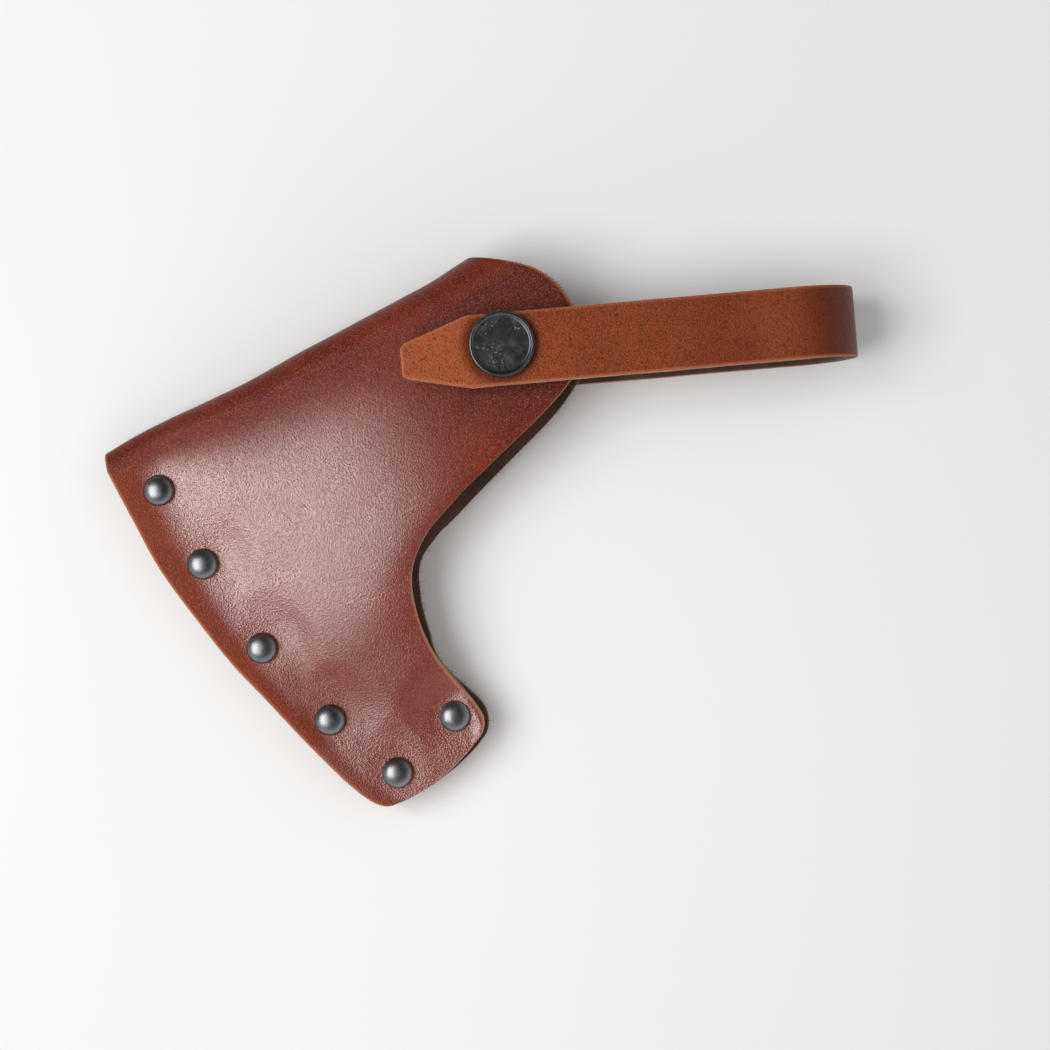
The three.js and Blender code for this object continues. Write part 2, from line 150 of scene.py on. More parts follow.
# ---------------------------------------------------------------- the blank of the sheath
TOE_X, TOE_SETBACK = -88.5, 1.2
POLL_X, POLL_SWEEP, POLL_BULGE = 19.5, 10.3, 0.15
FOLD_START, FOLD_LENGTH = -90, 122  # where FOLD_LINE starts, and how far it runs along X
FRONT_RISE, FRONT_MARGIN, FRONT_FOLD_EXTRA, FRONT_CLOSED = 12.7, 10.4, 2.6, 0.92
BACK_RISE, BACK_MARGIN, BACK_CLOSED = 3.5, 17.0, 0.7
RISE_POWER = 0.72
FOLD_SHARE = 0.3  # share of a panel's height that blends into the fold
HEEL_SAG = 1.5
SEAT_END = 16.5, 12.5  # how far the flat seats round the rivets reach, front and back
FOLD_LINE = Curve([
    (-90, 67.1), (-75, 67.7), (-60, 66.9), (-46, 66.2), (-30, 66.3), (-10, 66.2), (8, 66.2), (19, 67.1),
    (32, 67.5),
])
BLADE = Curve([
    (TOE_X, 62.0), (TOE_X, 48), (-88.3, 34), (-86.1, 18.6), (-83.2, 3.1), (-80.1, -7.9), (-75.6, -24.3),
    (-71.0, -38.5), (-67.9, -44.8), (-65.3, -47.3), (-61.5, -48.0),
])
FRONT_MOUTH = Curve([
    (29.8, 58.0), (32.4, 55.4), (34.5, 52.2), (36.0, 48.4), (36.6, 43.0), (36.0, 36.5), (32.6, 30.6),
    (27.4, 26.8), (18.7, 23.4), (4.2, 19.4), (-10.4, 15.4), (-23, 10.3), (-30.9, 3.3), (-34.9, -6.8),
    (-36.0, -16.8), (-35.3, -22.5), (-34.1, -28.1), (-32.7, -35.3), (-32.7, -39.0), (-34.6, -41.9),
    (-38.5, -43.9),
])
BACK_MOUTH = Curve([
    (29.8, 58.0), (32.5, 55.4), (34.7, 52.2), (36.4, 48.4), (37.2, 43.0), (37.2, 36.5), (34.8, 30.6),
    (30.0, 26.6), (20.5, 21.8), (4.5, 16.7), (-10, 12.3), (-20.7, 9.0), (-28.6, 4.3), (-33.0, -4.5),
    (-35.0, -13.0), (-36.1, -18.7), (-35.2, -24.5), (-32.7, -31.3), (-31.3, -36.3), (-31.8, -39.5),
    (-33.6, -42.5), (-37.8, -44.8),
])
WIDTH0 = np.linalg.norm(BLADE.p[0] - FRONT_MOUTH.p[0])


def mouth_rise(q, closed):
    return np.maximum(np.cos(np.pi / 2 * np.minimum(q / closed, 1)), 0) ** RISE_POWER


def rivet_distance(x, y):
    return np.min([np.hypot(x - a, y - b) for a, b in RIVETS], axis=0)


def panel_rise(front, p, q, width):
    margin = FRONT_MARGIN + FRONT_FOLD_EXTRA * (1 - smooth(q, 0, FOLD_SHARE)) if front else BACK_MARGIN
    t = np.clip((p * width - margin) / (width - margin), 0, 1)
    if front:
        soft = smooth(p * width, margin, margin + 9)
        fall = np.clip(q / FOLD_SHARE, 0, 1)
        shoulder = 1 - 0.16 * (1 - fall) ** 3 * (1 + 3 * fall)
        dome = np.sin(np.pi / 2 * t) * (0.7 + 0.3 * soft) * shoulder
        return FRONT_RISE * mouth_rise(q, FRONT_CLOSED) * dome
    return BACK_RISE * mouth_rise(q, BACK_CLOSED) * smooth(t, 0.22, 0.7)


def fold_heights(p):
    return FRONT_MID + panel_rise(True, p, 0, WIDTH0), BACK_MID + panel_rise(False, p, 0, WIDTH0)


def fold_point(p, angle):
    high, low = fold_heights(p)
    radius = (high - low) / 2
    left = TOE_X + TOE_SETBACK * np.cos(angle)
    reach = 1 - np.cos(angle)
    right = POLL_X + POLL_SWEEP * reach * (1 + POLL_BULGE * (1 - reach))
    x = left + (right - left) * p
    y = FOLD_LINE.at((x - FOLD_START) / FOLD_LENGTH)[..., 1] - HALF - radius * (1 - np.cos(angle))
    return np.stack([x, y, (high + low) / 2 + radius * np.sin(angle)], -1)


def panel_point(front, p, q):
    mouth = FRONT_MOUTH if front else BACK_MOUTH
    left, right = BLADE.at(q), mouth.at(q)
    x = left[..., 0] + (right[..., 0] - left[..., 0]) * p
    y = left[..., 1] + (right[..., 1] - left[..., 1]) * p
    fade = 1 - smooth(q, 0, FOLD_SHARE)
    start = BLADE.p[0][1] + (mouth.p[0][1] - BLADE.p[0][1]) * p
    y = y + (fold_point(p, np.pi / 2)[..., 1] - start) * fade
    y = y - HEEL_SAG * 4 * p * (1 - p) * smooth(q, 0.7, 1)
    rise = panel_rise(front, p, q, np.hypot(*(right - left).transpose(2, 0, 1)))
    near = rivet_distance(x, y)
    seat = smooth(near, 4.4, SEAT_END[0]) if front else smooth(near, 6.5, SEAT_END[1])
    return np.stack([x, y, (FRONT_MID if front else BACK_MID) + rise * (seat + (1 - seat) * fade)], -1)


def blank_grid():
    """Middle surface of the blank: rows run from the back's heel over the fold to the front's heel."""
    rim = np.array([0.0, 0.07, 0.2, 0.45])
    length = 130.0
    inner = np.linspace(0.9 / length, 1 - 0.9 / length, 150)
    q = np.r_[inner[1:], (1 - rim / length)[::-1]]
    cols = 132
    rows = []
    turn = np.linspace(-0.5, 0.5, 34)
    spans = [("back", k) for k in q[::-1]] + [("fold", a) for a in turn] + [("front", k) for k in q]
    for kind, k in spans:
        if kind == "fold":
            width = WIDTH0 - POLL_SWEEP * math.cos(k * math.pi)
        else:
            mouth = FRONT_MOUTH if kind == "front" else BACK_MOUTH
            width = float(np.linalg.norm(BLADE.at(k) - mouth.at(k)))
        edge = rim / width
        p = np.r_[edge, np.linspace(0.9 / width, 1 - 0.9 / width, cols), (1 - edge)[::-1]][None]
        if kind == "fold":
            rows.append((fold_point(p, k * np.pi)[0], p[0], width, 1.0))
        else:
            rows.append((panel_point(kind == "front", p, np.full_like(p, k))[0], p[0], width, k))
    mid = np.array([r[0] for r in rows])
    side = np.array([np.minimum(r[1], 1 - r[1]) * r[2] for r in rows])
    heel = np.array([(1 - r[3]) * length if s[0] != "fold" else 99.0 for r, s in zip(rows, spans)])
    share = np.array([r[1] for r in rows])
    return mid, np.minimum(side, heel[:, None]), share, spans


def grid_normals(g):
    down = np.gradient(g, axis=0)
    across = np.gradient(g, axis=1)
    n = np.cross(down, across)
    return n / np.maximum(np.linalg.norm(n, axis=-1, keepdims=True), 1e-9)


# ---------------------------------------------------------------- mesh building
def make_object(name, verts, faces, materials, face_material=None, smooth_shade=True, attributes=None):
    mesh = bpy.data.meshes.new(name)
    mesh.from_pydata([tuple(v) for v in verts], [], [tuple(int(i) for i in f) for f in faces])
    for m in materials:
        mesh.materials.append(m)
    if face_material is not None:
        mesh.polygons.foreach_set("material_index", np.asarray(face_material, np.int32))
    if smooth_shade:
        mesh.polygons.foreach_set("use_smooth", np.ones(len(mesh.polygons), bool))
    for key, values in (attributes or {}).items():
        a = mesh.attributes.new(key, "FLOAT", "POINT")
        a.data.foreach_set("value", np.asarray(values, np.float32))
    mesh.update()
    obj = bpy.data.objects.new(name, mesh)
    bpy.context.scene.collection.objects.link(obj)
    return obj


def grid_faces(rows, cols, start=0, flip=False):
    i, j = np.meshgrid(np.arange(rows - 1), np.arange(cols - 1), indexing="ij")
    a = start + i * cols + j
    quad = np.stack([a, a + cols, a + cols + 1, a + 1], -1).reshape(-1, 4)
    return quad[:, ::-1] if flip else quad


def perimeter(rows, cols):
    top = [j for j in range(cols)]
    right = [i * cols + cols - 1 for i in range(1, rows)]
    bottom = [(rows - 1) * cols + j for j in range(cols - 2, -1, -1)]
    left = [i * cols for i in range(rows - 2, 0, -1)]
    return np.array(top + right + bottom + left)


WALL_STEPS = 7
EDGE_ROUND = 0.42


def leather_sheet(name, mid, edge, materials, relief, attributes, wall_noise=0.07):
    """Closed sheet of leather about its middle surface, with rounded edges and a rough cut wall."""
    rows, cols = edge.shape
    n = grid_normals(mid)
    lip = np.clip(1 - edge / EDGE_ROUND, 0, 1)
    drop = EDGE_ROUND * (1 - np.sqrt(1 - lip**2 * 0.985))
    outer = mid + n * (HALF - drop)[..., None]
    inner = mid - n * (HALF - drop)[..., None]
    if relief is not None:
        outer = outer + n * (relief * smooth(edge, 0, 1.5))[..., None]
    ring = perimeter(rows, cols)
    o, i = outer.reshape(-1, 3), inner.reshape(-1, 3)
    m = mid.reshape(-1, 3)
    r, c = ring // cols, ring % cols
    step_in = np.clip(r, 4, rows - 5) * cols + np.clip(c, 4, cols - 5)
    inward = m[step_in] - m[ring]
    inward -= np.sum(inward * n.reshape(-1, 3)[ring], axis=1, keepdims=True) * n.reshape(-1, 3)[ring]
    inward /= np.maximum(np.linalg.norm(inward, axis=1, keepdims=True), 1e-9)
    walls = []
    for k in range(1, WALL_STEPS):
        f = k / WALL_STEPS
        w = o[ring] * (1 - f) + i[ring] * f
        bulge = 0.10 * math.sin(math.pi * f)
        rough = wall_noise * value_noise(w * (1, 1, 2.2), 0.9, k)
        rough = rough + 0.5 * wall_noise * value_noise(w, 0.35, k + 9)
        walls.append(w - inward * (bulge + rough)[:, None])
    verts = np.vstack([o, i] + walls)
    count = rows * cols
    faces = [grid_faces(rows, cols), grid_faces(rows, cols, count, True)]
    between = [2 * count + k * len(ring) + np.arange(len(ring)) for k in range(WALL_STEPS - 1)]
    rings = [ring] + between + [ring + count]
    wall_faces = []
    for a, b in zip(rings[:-1], rings[1:]):
        wall_faces.append(np.stack([a, np.roll(a, -1), np.roll(b, -1), b], -1))
    wall_faces = np.vstack(wall_faces)
    index = np.r_[np.zeros(len(faces[0])), np.ones(len(faces[1])), np.full(len(wall_faces), 2)]
    extra = {}
    for key, values in attributes.items():
        flat = values.reshape(-1)
        extra[key] = np.r_[flat, flat, np.tile(flat[ring], WALL_STEPS - 1)]
    on_walls = np.ones(len(ring) * (WALL_STEPS - 1))
    extra["lip"] = np.r_[smooth(edge, 0.75, 0.15).reshape(-1), np.zeros(count), on_walls]
    obj = make_object(name, to_row(verts), np.vstack(faces + [wall_faces]), materials, index, True, extra)
    return obj, outer, inner


def turned(name, profile, materials, sides, at, attributes=None):
    """A round piece about Z; profile is [radius, height] in millimetres, open ends on the axis."""
    profile = np.array(profile, float)
    angle = np.linspace(0, 2 * np.pi, sides, endpoint=False)
    verts, rings = [], []
    for r, z in profile:
        if r < 1e-6:
            rings.append([len(verts)] * sides)
            verts.append((at[0], at[1], z))
        else:
            rings.append(list(range(len(verts), len(verts) + sides)))
            verts += [(at[0] + r * math.cos(a), at[1] + r * math.sin(a), z) for a in angle]
    faces = []
    for k in range(len(rings) - 1):
        a, b = rings[k], rings[k + 1]
        for j in range(sides):
            f = [a[j], a[(j + 1) % sides], b[(j + 1) % sides], b[j]]
            f = [v for m, v in enumerate(f) if v not in f[:m]]
            if len(f) > 2:
                faces.append(f)
    return make_object(name, to_row(verts), faces, materials, None, True, attributes)


def rounded(points, radius=0.25, steps=4):
    """Rounds the corners of an open profile."""
    pts = [np.array(p, float) for p in points]
    out = [pts[0]]
    for a, b, c in zip(pts[:-2], pts[1:-1], pts[2:]):
        cut = min(radius, np.linalg.norm(b - a) * 0.45, np.linalg.norm(c - b) * 0.45)
        s = b + (a - b) / max(np.linalg.norm(a - b), 1e-9) * cut
        e = b + (c - b) / max(np.linalg.norm(c - b), 1e-9) * cut
        for t in np.linspace(0, 1, steps):
            out.append(s * (1 - t) ** 2 + b * 2 * t * (1 - t) + e * t**2)
    return out + [pts[-1]]


# ---------------------------------------------------------------- materials
class Nodes:
    def __init__(self, name):
        self.material = bpy.data.materials.new(name)
        self.material.use_nodes = True
        self.tree = self.material.node_tree
        self.tree.nodes.clear()
        self.out = self.tree.nodes.new("ShaderNodeOutputMaterial")
        self.shader = self.tree.nodes.new("ShaderNodeBsdfPrincipled")
        self.link(self.shader.outputs[0], self.out.inputs[0])
        self.coords = self.tree.nodes.new("ShaderNodeTexCoord").outputs["Object"]

    def link(self, a, b):
        self.tree.links.new(a, b)

    def plug(self, socket, value):
        if isinstance(value, bpy.types.NodeSocket):
            self.link(value, socket)
        else:
            socket.default_value = value

    def noise(self, scale, detail=3, rough=0.55, distortion=0.0, stretch=None):
        n = self.tree.nodes.new("ShaderNodeTexNoise")
        n.inputs["Scale"].default_value = scale
        n.inputs["Detail"].default_value = detail
        n.inputs["Roughness"].default_value = rough
        n.inputs["Distortion"].default_value = distortion
        self.link(self.stretched(stretch), n.inputs["Vector"])
        return n.outputs["Fac"]

    def stretched(self, stretch):
        if stretch is None:
            return self.coords
        m = self.tree.nodes.new("ShaderNodeMapping")
        m.inputs["Scale"].default_value = stretch
        self.link(self.coords, m.inputs["Vector"])
        return m.outputs[0]

    def cells(self, scale, feature="F1", randomness=1.0, warp=None):
        v = self.tree.nodes.new("ShaderNodeTexVoronoi")
        v.feature = feature
        v.inputs["Scale"].default_value = scale
        v.inputs["Randomness"].default_value = randomness
        vector = self.coords
        if warp is not None:
            source = self.tree.nodes.new("ShaderNodeTexNoise")
            source.inputs["Scale"].default_value = warp[0]
            self.link(self.coords, source.inputs["Vector"])
            scaled = self.tree.nodes.new("ShaderNodeVectorMath")
            scaled.operation = "SCALE"
            self.link(source.outputs["Color"], scaled.inputs[0])
            scaled.inputs["Scale"].default_value = warp[1]
            added = self.tree.nodes.new("ShaderNodeVectorMath")
            self.link(self.coords, added.inputs[0])
            self.link(scaled.outputs[0], added.inputs[1])
            vector = added.outputs[0]
        self.link(vector, v.inputs["Vector"])
        return v.outputs["Distance"]

    def attribute(self, name):
        a = self.tree.nodes.new("ShaderNodeAttribute")
        a.attribute_name = name
        return a.outputs["Fac"]

    def maths(self, op, a, b):
        m = self.tree.nodes.new("ShaderNodeMath")
        m.operation = op
        self.plug(m.inputs[0], a)
        self.plug(m.inputs[1], b)
        return m.outputs[0]

    def span(self, value, a, b, low=0.0, high=1.0):
        m = self.tree.nodes.new("ShaderNodeMapRange")
        m.interpolation_type = "SMOOTHSTEP"
        self.plug(m.inputs["Value"], value)
        for key, x in (("From Min", a), ("From Max", b), ("To Min", low), ("To Max", high)):
            m.inputs[key].default_value = x
        return m.outputs["Result"]

    def mix(self, factor, a, b):
        m = self.tree.nodes.new("ShaderNodeMix")
        m.data_type = "RGBA"
        self.plug(m.inputs["Factor"], factor)
        for socket, value in ((m.inputs["A"], a), (m.inputs["B"], b)):
            self.plug(socket, value if isinstance(value, bpy.types.NodeSocket) else (*value, 1.0))
        return m.outputs["Result"]

    def tint(self, colour, mask, strength, target):
        """The colour moved towards target where mask is 1, by at most strength."""
        return self.mix(self.maths("MULTIPLY", mask, strength), colour, target)

    def bump(self, height, strength, distance, normal=None):
        b = self.tree.nodes.new("ShaderNodeBump")
        b.inputs["Strength"].default_value = strength
        b.inputs["Distance"].default_value = distance
        self.link(height, b.inputs["Height"])
        if normal is not None:
            self.link(normal, b.inputs["Normal"])
        return b.outputs[0]

    def finish(self, colour, roughness, normal=None, **fixed):
        self.plug(self.shader.inputs["Base Color"], colour)
        self.plug(self.shader.inputs["Roughness"], roughness)
        if normal is not None:
            self.link(normal, self.shader.inputs["Normal"])
        for key, value in fixed.items():
            self.shader.inputs[key.replace("_", " ")].default_value = value
        return self.material


def sheath_grain():
    n = Nodes("oxblood_grain")
    broad = n.noise(38, 3, 0.5)
    cloud = n.noise(130, 4, 0.6, 0.4)
    speck = n.noise(2300, 3, 0.6)
    pores = n.cells(2100, "F1", 1.0, (1300, 0.0003))
    colour = n.mix(n.span(broad, 0.35, 0.65), (0.116, 0.0160, 0.0080), (0.152, 0.0225, 0.0105))
    colour = n.tint(colour, n.span(cloud, 0.42, 0.66), 0.45, (0.090, 0.0130, 0.0075))
    # painted sheen: lighter pinkish colour where the window's sheen falls on the panel's left and middle
    colour = n.tint(colour, n.attribute("polish_and_painted_sheen"), 0.6, (0.265, 0.0330, 0.0200))
    colour = n.tint(colour, n.attribute("pull"), 0.7, (0.235, 0.040, 0.011))
    # painted shade: darker round the snap under the strap and along the cut edge at the poll
    colour = n.tint(colour, n.attribute("dark"), 0.6, (0.045, 0.010, 0.007))
    colour = n.tint(colour, n.span(speck, 0.5, 0.62), 0.5, (0.31, 0.085, 0.055))
    colour = n.tint(colour, n.span(pores, 0.0, 0.26, 1.0, 0.0), 0.65, (0.03, 0.006, 0.004))
    colour = n.tint(colour, n.attribute("lip"), 0.85, (0.42, 0.17, 0.070))
    rough = n.span(cloud, 0.3, 0.7, 0.27, 0.32)
    rough = n.maths("ADD", rough, n.maths("MULTIPLY", n.attribute("lip"), 0.2))
    fine = n.bump(speck, 0.9, 0.00013)
    grain = n.bump(pores, 0.8, 0.00011, fine)
    wave = n.bump(n.noise(260, 3, 0.5), 0.18, 0.00015, grain)
    # the same map also raises the specular level there, as on polished leather
    n.plug(n.shader.inputs["Specular IOR Level"], n.span(n.attribute("polish_and_painted_sheen"), 0.0, 1.0, 0.12, 1.6))
    return n.finish(colour, rough, wave, IOR=1.5)


def flesh_side():
    n = Nodes("flesh_side")
    nap = n.noise(900, 5, 0.7, 0.8)
    patch = n.noise(90, 3, 0.5)
    colour = n.mix(n.span(patch, 0.35, 0.65), (0.050, 0.021, 0.013), (0.088, 0.040, 0.024))
    colour = n.tint(colour, n.span(nap, 0.5, 0.75), 0.55, (0.17, 0.088, 0.055))
    normal = n.bump(nap, 0.9, 0.00035, n.bump(n.noise(3200, 2, 0.6), 0.6, 0.00012))
    sheen = {"Sheen_Weight": 0.25, "Sheen_Roughness": 0.6}
    return n.finish(colour, 0.95, normal, IOR=1.4, Specular_IOR_Level=0.2, **sheen)


def cut_edge(name, light, dark):
    n = Nodes(name)
    fibre = n.noise(1300, 5, 0.7, 0.6, (1, 1, 2.4))
    layer = n.noise(420, 3, 0.6, 0.2, (0.25, 0.25, 3.0))
    colour = n.mix(n.span(fibre, 0.32, 0.68), dark, light)
    colour = n.tint(colour, n.span(layer, 0.46, 0.62), 0.5, tuple(0.55 * c for c in dark))
    # painted shade: walls darkened where the grain side carries painted shade
    colour = n.tint(colour, n.attribute("dark"), 0.85, (0.045, 0.014, 0.009))
    normal = n.bump(fibre, 0.8, 0.00022, n.bump(layer, 0.5, 0.0002))
    return n.finish(colour, n.span(fibre, 0.3, 0.7, 0.62, 0.85), normal, IOR=1.42)


def strap_grain():
    n = Nodes("strap_grain")
    pebble = n.cells(2200, "SMOOTH_F1", 1.0, (1300, 0.0004))
    larger = n.cells(1200, "SMOOTH_F1", 1.0, (700, 0.0006))
    broad = n.noise(48, 3, 0.5)
    mottle = n.noise(420, 4, 0.65)
    fine = n.noise(2600, 3, 0.6)
    colour = n.mix(n.span(broad, 0.35, 0.65), (0.185, 0.0300, 0.0070), (0.245, 0.0450, 0.0105))
    colour = n.tint(colour, n.span(mottle, 0.45, 0.65), 0.3, (0.125, 0.022, 0.0060))
    # painted light: front run lighter towards its tip, mixed with random paler tone
    colour = n.tint(colour, n.attribute("tone_and_painted_light"), 0.6, (0.40, 0.096, 0.032))
    colour = n.tint(colour, n.span(pebble, 0.42, 0.68), 0.58, (0.062, 0.011, 0.004))
    colour = n.tint(colour, n.span(fine, 0.5, 0.62), 0.55, (0.46, 0.095, 0.020))
    # painted shade: darker in the bend, in a ring round the snap cap and towards the bend
    colour = n.tint(colour, n.attribute("dark"), 0.75, (0.072, 0.014, 0.005))
    colour = n.tint(colour, n.attribute("lip"), 0.5, (0.50, 0.17, 0.085))
    normal = n.bump(fine, 0.7, 0.00012)
    normal = n.bump(n.maths("SUBTRACT", 1.0, pebble), 0.9, 0.00020, normal)
    normal = n.bump(n.maths("SUBTRACT", 1.0, larger), 0.2, 0.00010, normal)
    rough = n.span(n.noise(160, 3, 0.6), 0.3, 0.7, 0.36, 0.44)
    return n.finish(colour, rough, normal, IOR=1.47, Specular_IOR_Level=0.2)


def gunmetal(name, light, dark, low, high, speckle=None):
    n = Nodes(name)
    cloud = n.noise(420, 4, 0.6)
    scratch = n.noise(2600, 3, 0.7, 0.5, (1.0, 0.12, 1.0))
    dust = n.noise(5200, 2, 0.6)
    colour = n.mix(n.span(cloud, 0.25, 0.75), dark, light)
    colour = n.tint(colour, n.span(dust, 0.66, 0.78), 0.35, tuple(min(1, 2.4 * c) for c in light))
    rough = n.maths("ADD", n.span(cloud, 0.3, 0.7, low, high), n.span(scratch, 0.56, 0.74, 0.0, 0.12))
    if speckle:
        worn = n.span(n.noise(1700, 4, 0.75, 0.9), 0.575, 0.625)
        worn = n.maths("MULTIPLY", worn, n.span(n.noise(330, 2, 0.5), 0.36, 0.56))
        worn = n.maths("MULTIPLY", worn, n.attribute("worn"))
        colour = n.mix(worn, colour, speckle)
        rough = n.maths("ADD", rough, n.maths("MULTIPLY", worn, 0.18))
    normal = n.bump(scratch, 0.12, 0.00003, n.bump(cloud, 0.15, 0.00005))
    return n.finish(colour, rough, normal, Metallic=1.0)


def wire_steel():
    n = Nodes("spring_wire")
    draw = n.noise(2400, 3, 0.6, 0.2, (0.3, 0.3, 3))
    colour = n.mix(n.span(draw, 0.35, 0.65), (0.36, 0.36, 0.37), (0.55, 0.55, 0.56))
    return n.finish(colour, n.span(draw, 0.3, 0.7, 0.22, 0.38), n.bump(draw, 0.2, 0.00003), Metallic=1.0)


GRAIN = sheath_grain()
FLESH = flesh_side()
EDGE = cut_edge("tan_cut_edge", (0.50, 0.235, 0.105), (0.25, 0.098, 0.042))
STRAP_EDGE = cut_edge("salmon_cut_edge", (0.62, 0.30, 0.17), (0.36, 0.145, 0.075))
WELT_FACE = cut_edge("raw_welt", (0.46, 0.235, 0.115), (0.25, 0.115, 0.055))
STRAP = strap_grain()
RIVET = gunmetal("gunmetal_plate", (0.240, 0.243, 0.255), (0.200, 0.203, 0.214), 0.32, 0.38)
BASE = gunmetal("gunmetal_base", (0.18, 0.185, 0.19), (0.09, 0.092, 0.098), 0.28, 0.42)
BLACK = gunmetal(
    "blackened_snap", (0.115, 0.118, 0.123), (0.085, 0.087, 0.092), 0.30, 0.38, (0.34, 0.34, 0.34))
WIRE = wire_steel()


def add(obj, body, slot, *nodes):
    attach(obj, body)
    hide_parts(*nodes)
    return obj


# ---------------------------------------------------------------- the sheath's leather
PRICK = (19.0, 61.6)  # a small dent near the fold


def build_sheath():
    mid, edge, share, spans = blank_grid()
    x, y = mid[..., 0], mid[..., 1]
    front = np.array([s[0] == "front" for s in spans])[:, None]
    near = rivet_distance(x, y)
    relief = 0.10 * value_noise(mid, 16, 3) + 0.05 * value_noise(mid, 6, 5)
    for k, (a, b) in enumerate(RIVETS):
        d, angle = np.hypot(x - a, y - b), np.arctan2(y - b, x - a)
        wobble = 0.5 * value_noise(np.stack([np.cos(angle) * 3, np.sin(angle) * 3, d * 0 + k], -1), 1.1, k)
        pucker = np.sin(17 * angle + 5 * wobble + k) * smooth(d, 4.2, 5.2) * (1 - smooth(d, 6.5, 10.5))
        relief = relief + 0.012 * pucker
        relief = relief - 0.25 * (1 - smooth(d, 3.9, 8.5))
    mark = np.hypot(x - PRICK[0], y - PRICK[1]) * (1 + 9 * (mid[..., 2] < 15))
    relief = relief - 0.28 * np.exp(-((mark / 0.75) ** 2))
    blade = share * 100
    pull = smooth(near, 13, 4) * 0.35 + 0.55 * smooth(blade, 9, 1) * front
    pull = pull + 0.25 * smooth(value_noise(mid, 22, 8), 0.1, 0.8)
    u, v = x - SNAP[0], y - SNAP[1]
    # painted shade: darker round the snap under the strap, and along the poll's cut edge where it faces
    # away from the window
    dark = 0.8 * smooth(np.hypot(u - 6, v), 34, 12) * front
    poll = smooth(share, 0.90, 1.0) * smooth(y, 30, 46)
    dark = np.clip(dark + 0.9 * poll * smooth(edge, 3.0, 0.0), 0, 1)
    # painted sheen, on top of a real polish: strong on the left and middle, fading by the fold and to the
    # right
    polish_and_painted_sheen = (1 - smooth(x, -54, 8)) * smooth(65.5 - y, 3, 9 + 20 * smooth(x, -86, -46))
    polish_and_painted_sheen = polish_and_painted_sheen * smooth(y, -34, 26) * smooth(blade, 3, 11)
    polish_and_painted_sheen = np.maximum(polish_and_painted_sheen, 0.42 * smooth(-y, -6, 14) * smooth(blade, 6, 16))
    # heel tab: a real lift of the edge, with painted sheen on it
    tab = smooth(share, 0.86, 0.97) * smooth(-y, 29, 34)
    relief = relief + 0.55 * tab * front
    polish_and_painted_sheen = np.clip(polish_and_painted_sheen + 0.75 * tab + 0.25 * smooth(-y, 20, 30), 0, 1) * front
    obj, outer, inner = leather_sheet(
        "sheath_leather", mid, edge, [GRAIN, FLESH, EDGE], relief,
        {"pull": np.clip(pull, 0, 1), "dark": dark, "polish_and_painted_sheen": polish_and_painted_sheen})
    add(obj, "sheath", "body_leather", "leather_body")
    return outer, inner


def fibres(name, roots, outward, body, material, lengths, width=0.045):
    """Loose fibres of the flesh side: thin curved threads that stand out of a cut edge."""
    verts, faces = [], []
    for root, out in zip(roots, outward):
        length = rng.uniform(*lengths)
        turn = rng.normal(0, 0.55, 3)
        direction = out + turn * 0.8
        direction /= np.linalg.norm(direction)
        curl = rng.normal(0, 0.6, 3)
        side = np.cross(direction, (0.3, 0.2, 0.9))
        side /= np.linalg.norm(side)
        other = np.cross(direction, side)
        base = len(verts)
        segments = 5
        for k in range(segments + 1):
            f = k / segments
            p = root + direction * length * f + curl * length * 0.5 * f * f
            r = width * (1 - 0.75 * f)
            for a in (0, 2.1, 4.2):
                verts.append(p + side * r * math.cos(a) + other * r * math.sin(a))
        for k in range(segments):
            for j in range(3):
                a, b = base + 3 * k + j, base + 3 * k + (j + 1) % 3
                faces.append((a, b, b + 3, a + 3))
    obj = make_object(name, to_row(verts), faces, [material])
    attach(obj, body)
    return obj


FIBRES = 900


def build_fibres(outer, inner):
    rows = len(outer)
    roots, out = [], []
    for _ in range(FIBRES):
        r = int(rng.integers(6, rows - 6))
        a, b = outer[r, -1], inner[r, -1]
        f = rng.uniform(0.55, 1.0)
        direction = inner[r, -1] - inner[r, -8]
        direction = direction / np.linalg.norm(direction)
        roots.append(a * (1 - f) + b * f - direction * 0.15)
        out.append(direction)
    fibres("edge_fibres", roots, out, "sheath", FLESH, (0.35, 1.5), 0.05)


# ---------------------------------------------------------------- the welt
def build_welt():
    outer = Curve([
        (-88.0, 58), (-88.0, 48), (-87.8, 34), (-85.6, 18.8), (-82.7, 3.3), (-79.6, -7.8), (-75.1, -24.1),
        (-70.5, -38.2), (-67.4, -44.3), (-65.0, -46.7), (-61.5, -47.4), (-49.0, -45.8), (-38.4, -43.2),
        (-34.6, -41.0), (-33.5, -38.0),
    ])
    inside = Curve([
        (-74.0, 58), (-73.6, 44), (-73.0, 30), (-71.4, 18), (-69.6, 8), (-67.0, -4), (-64.2, -13),
        (-60.4, -22.5), (-56.8, -28.2), (-51.5, -30.9), (-45.0, -30.6), (-34.8, -29.2),
    ])
    q = np.linspace(0, 1, 260)
    a, b = outer.at(q)[:, None], inside.at(q)[:, None]
    rim = np.array([0, 0.01, 0.03])
    p = np.r_[rim, np.linspace(0.06, 0.94, 18), 1 - rim[::-1]][None, :, None]
    plan = a + (b - a) * p
    mid = np.concatenate([plan, np.full(plan.shape[:2] + (1,), WELT_BOTTOM + HALF)], -1)
    width = np.linalg.norm(b - a, axis=-1)
    edge = np.minimum(p[..., 0], 1 - p[..., 0]) * width
    ends = np.minimum(q, 1 - q)[:, None] * 140
    obj, *_ = leather_sheet(
        "welt_leather", mid, np.minimum(edge, ends), [WELT_FACE, WELT_FACE, EDGE], None,
        {"dark": np.zeros(edge.shape)})
    add(obj, "sheath", "welt_leather", "welt_strip")


# ---------------------------------------------------------------- rivets
RIVET_RADIUS = 4.0
RIVET_LIP = 0.28


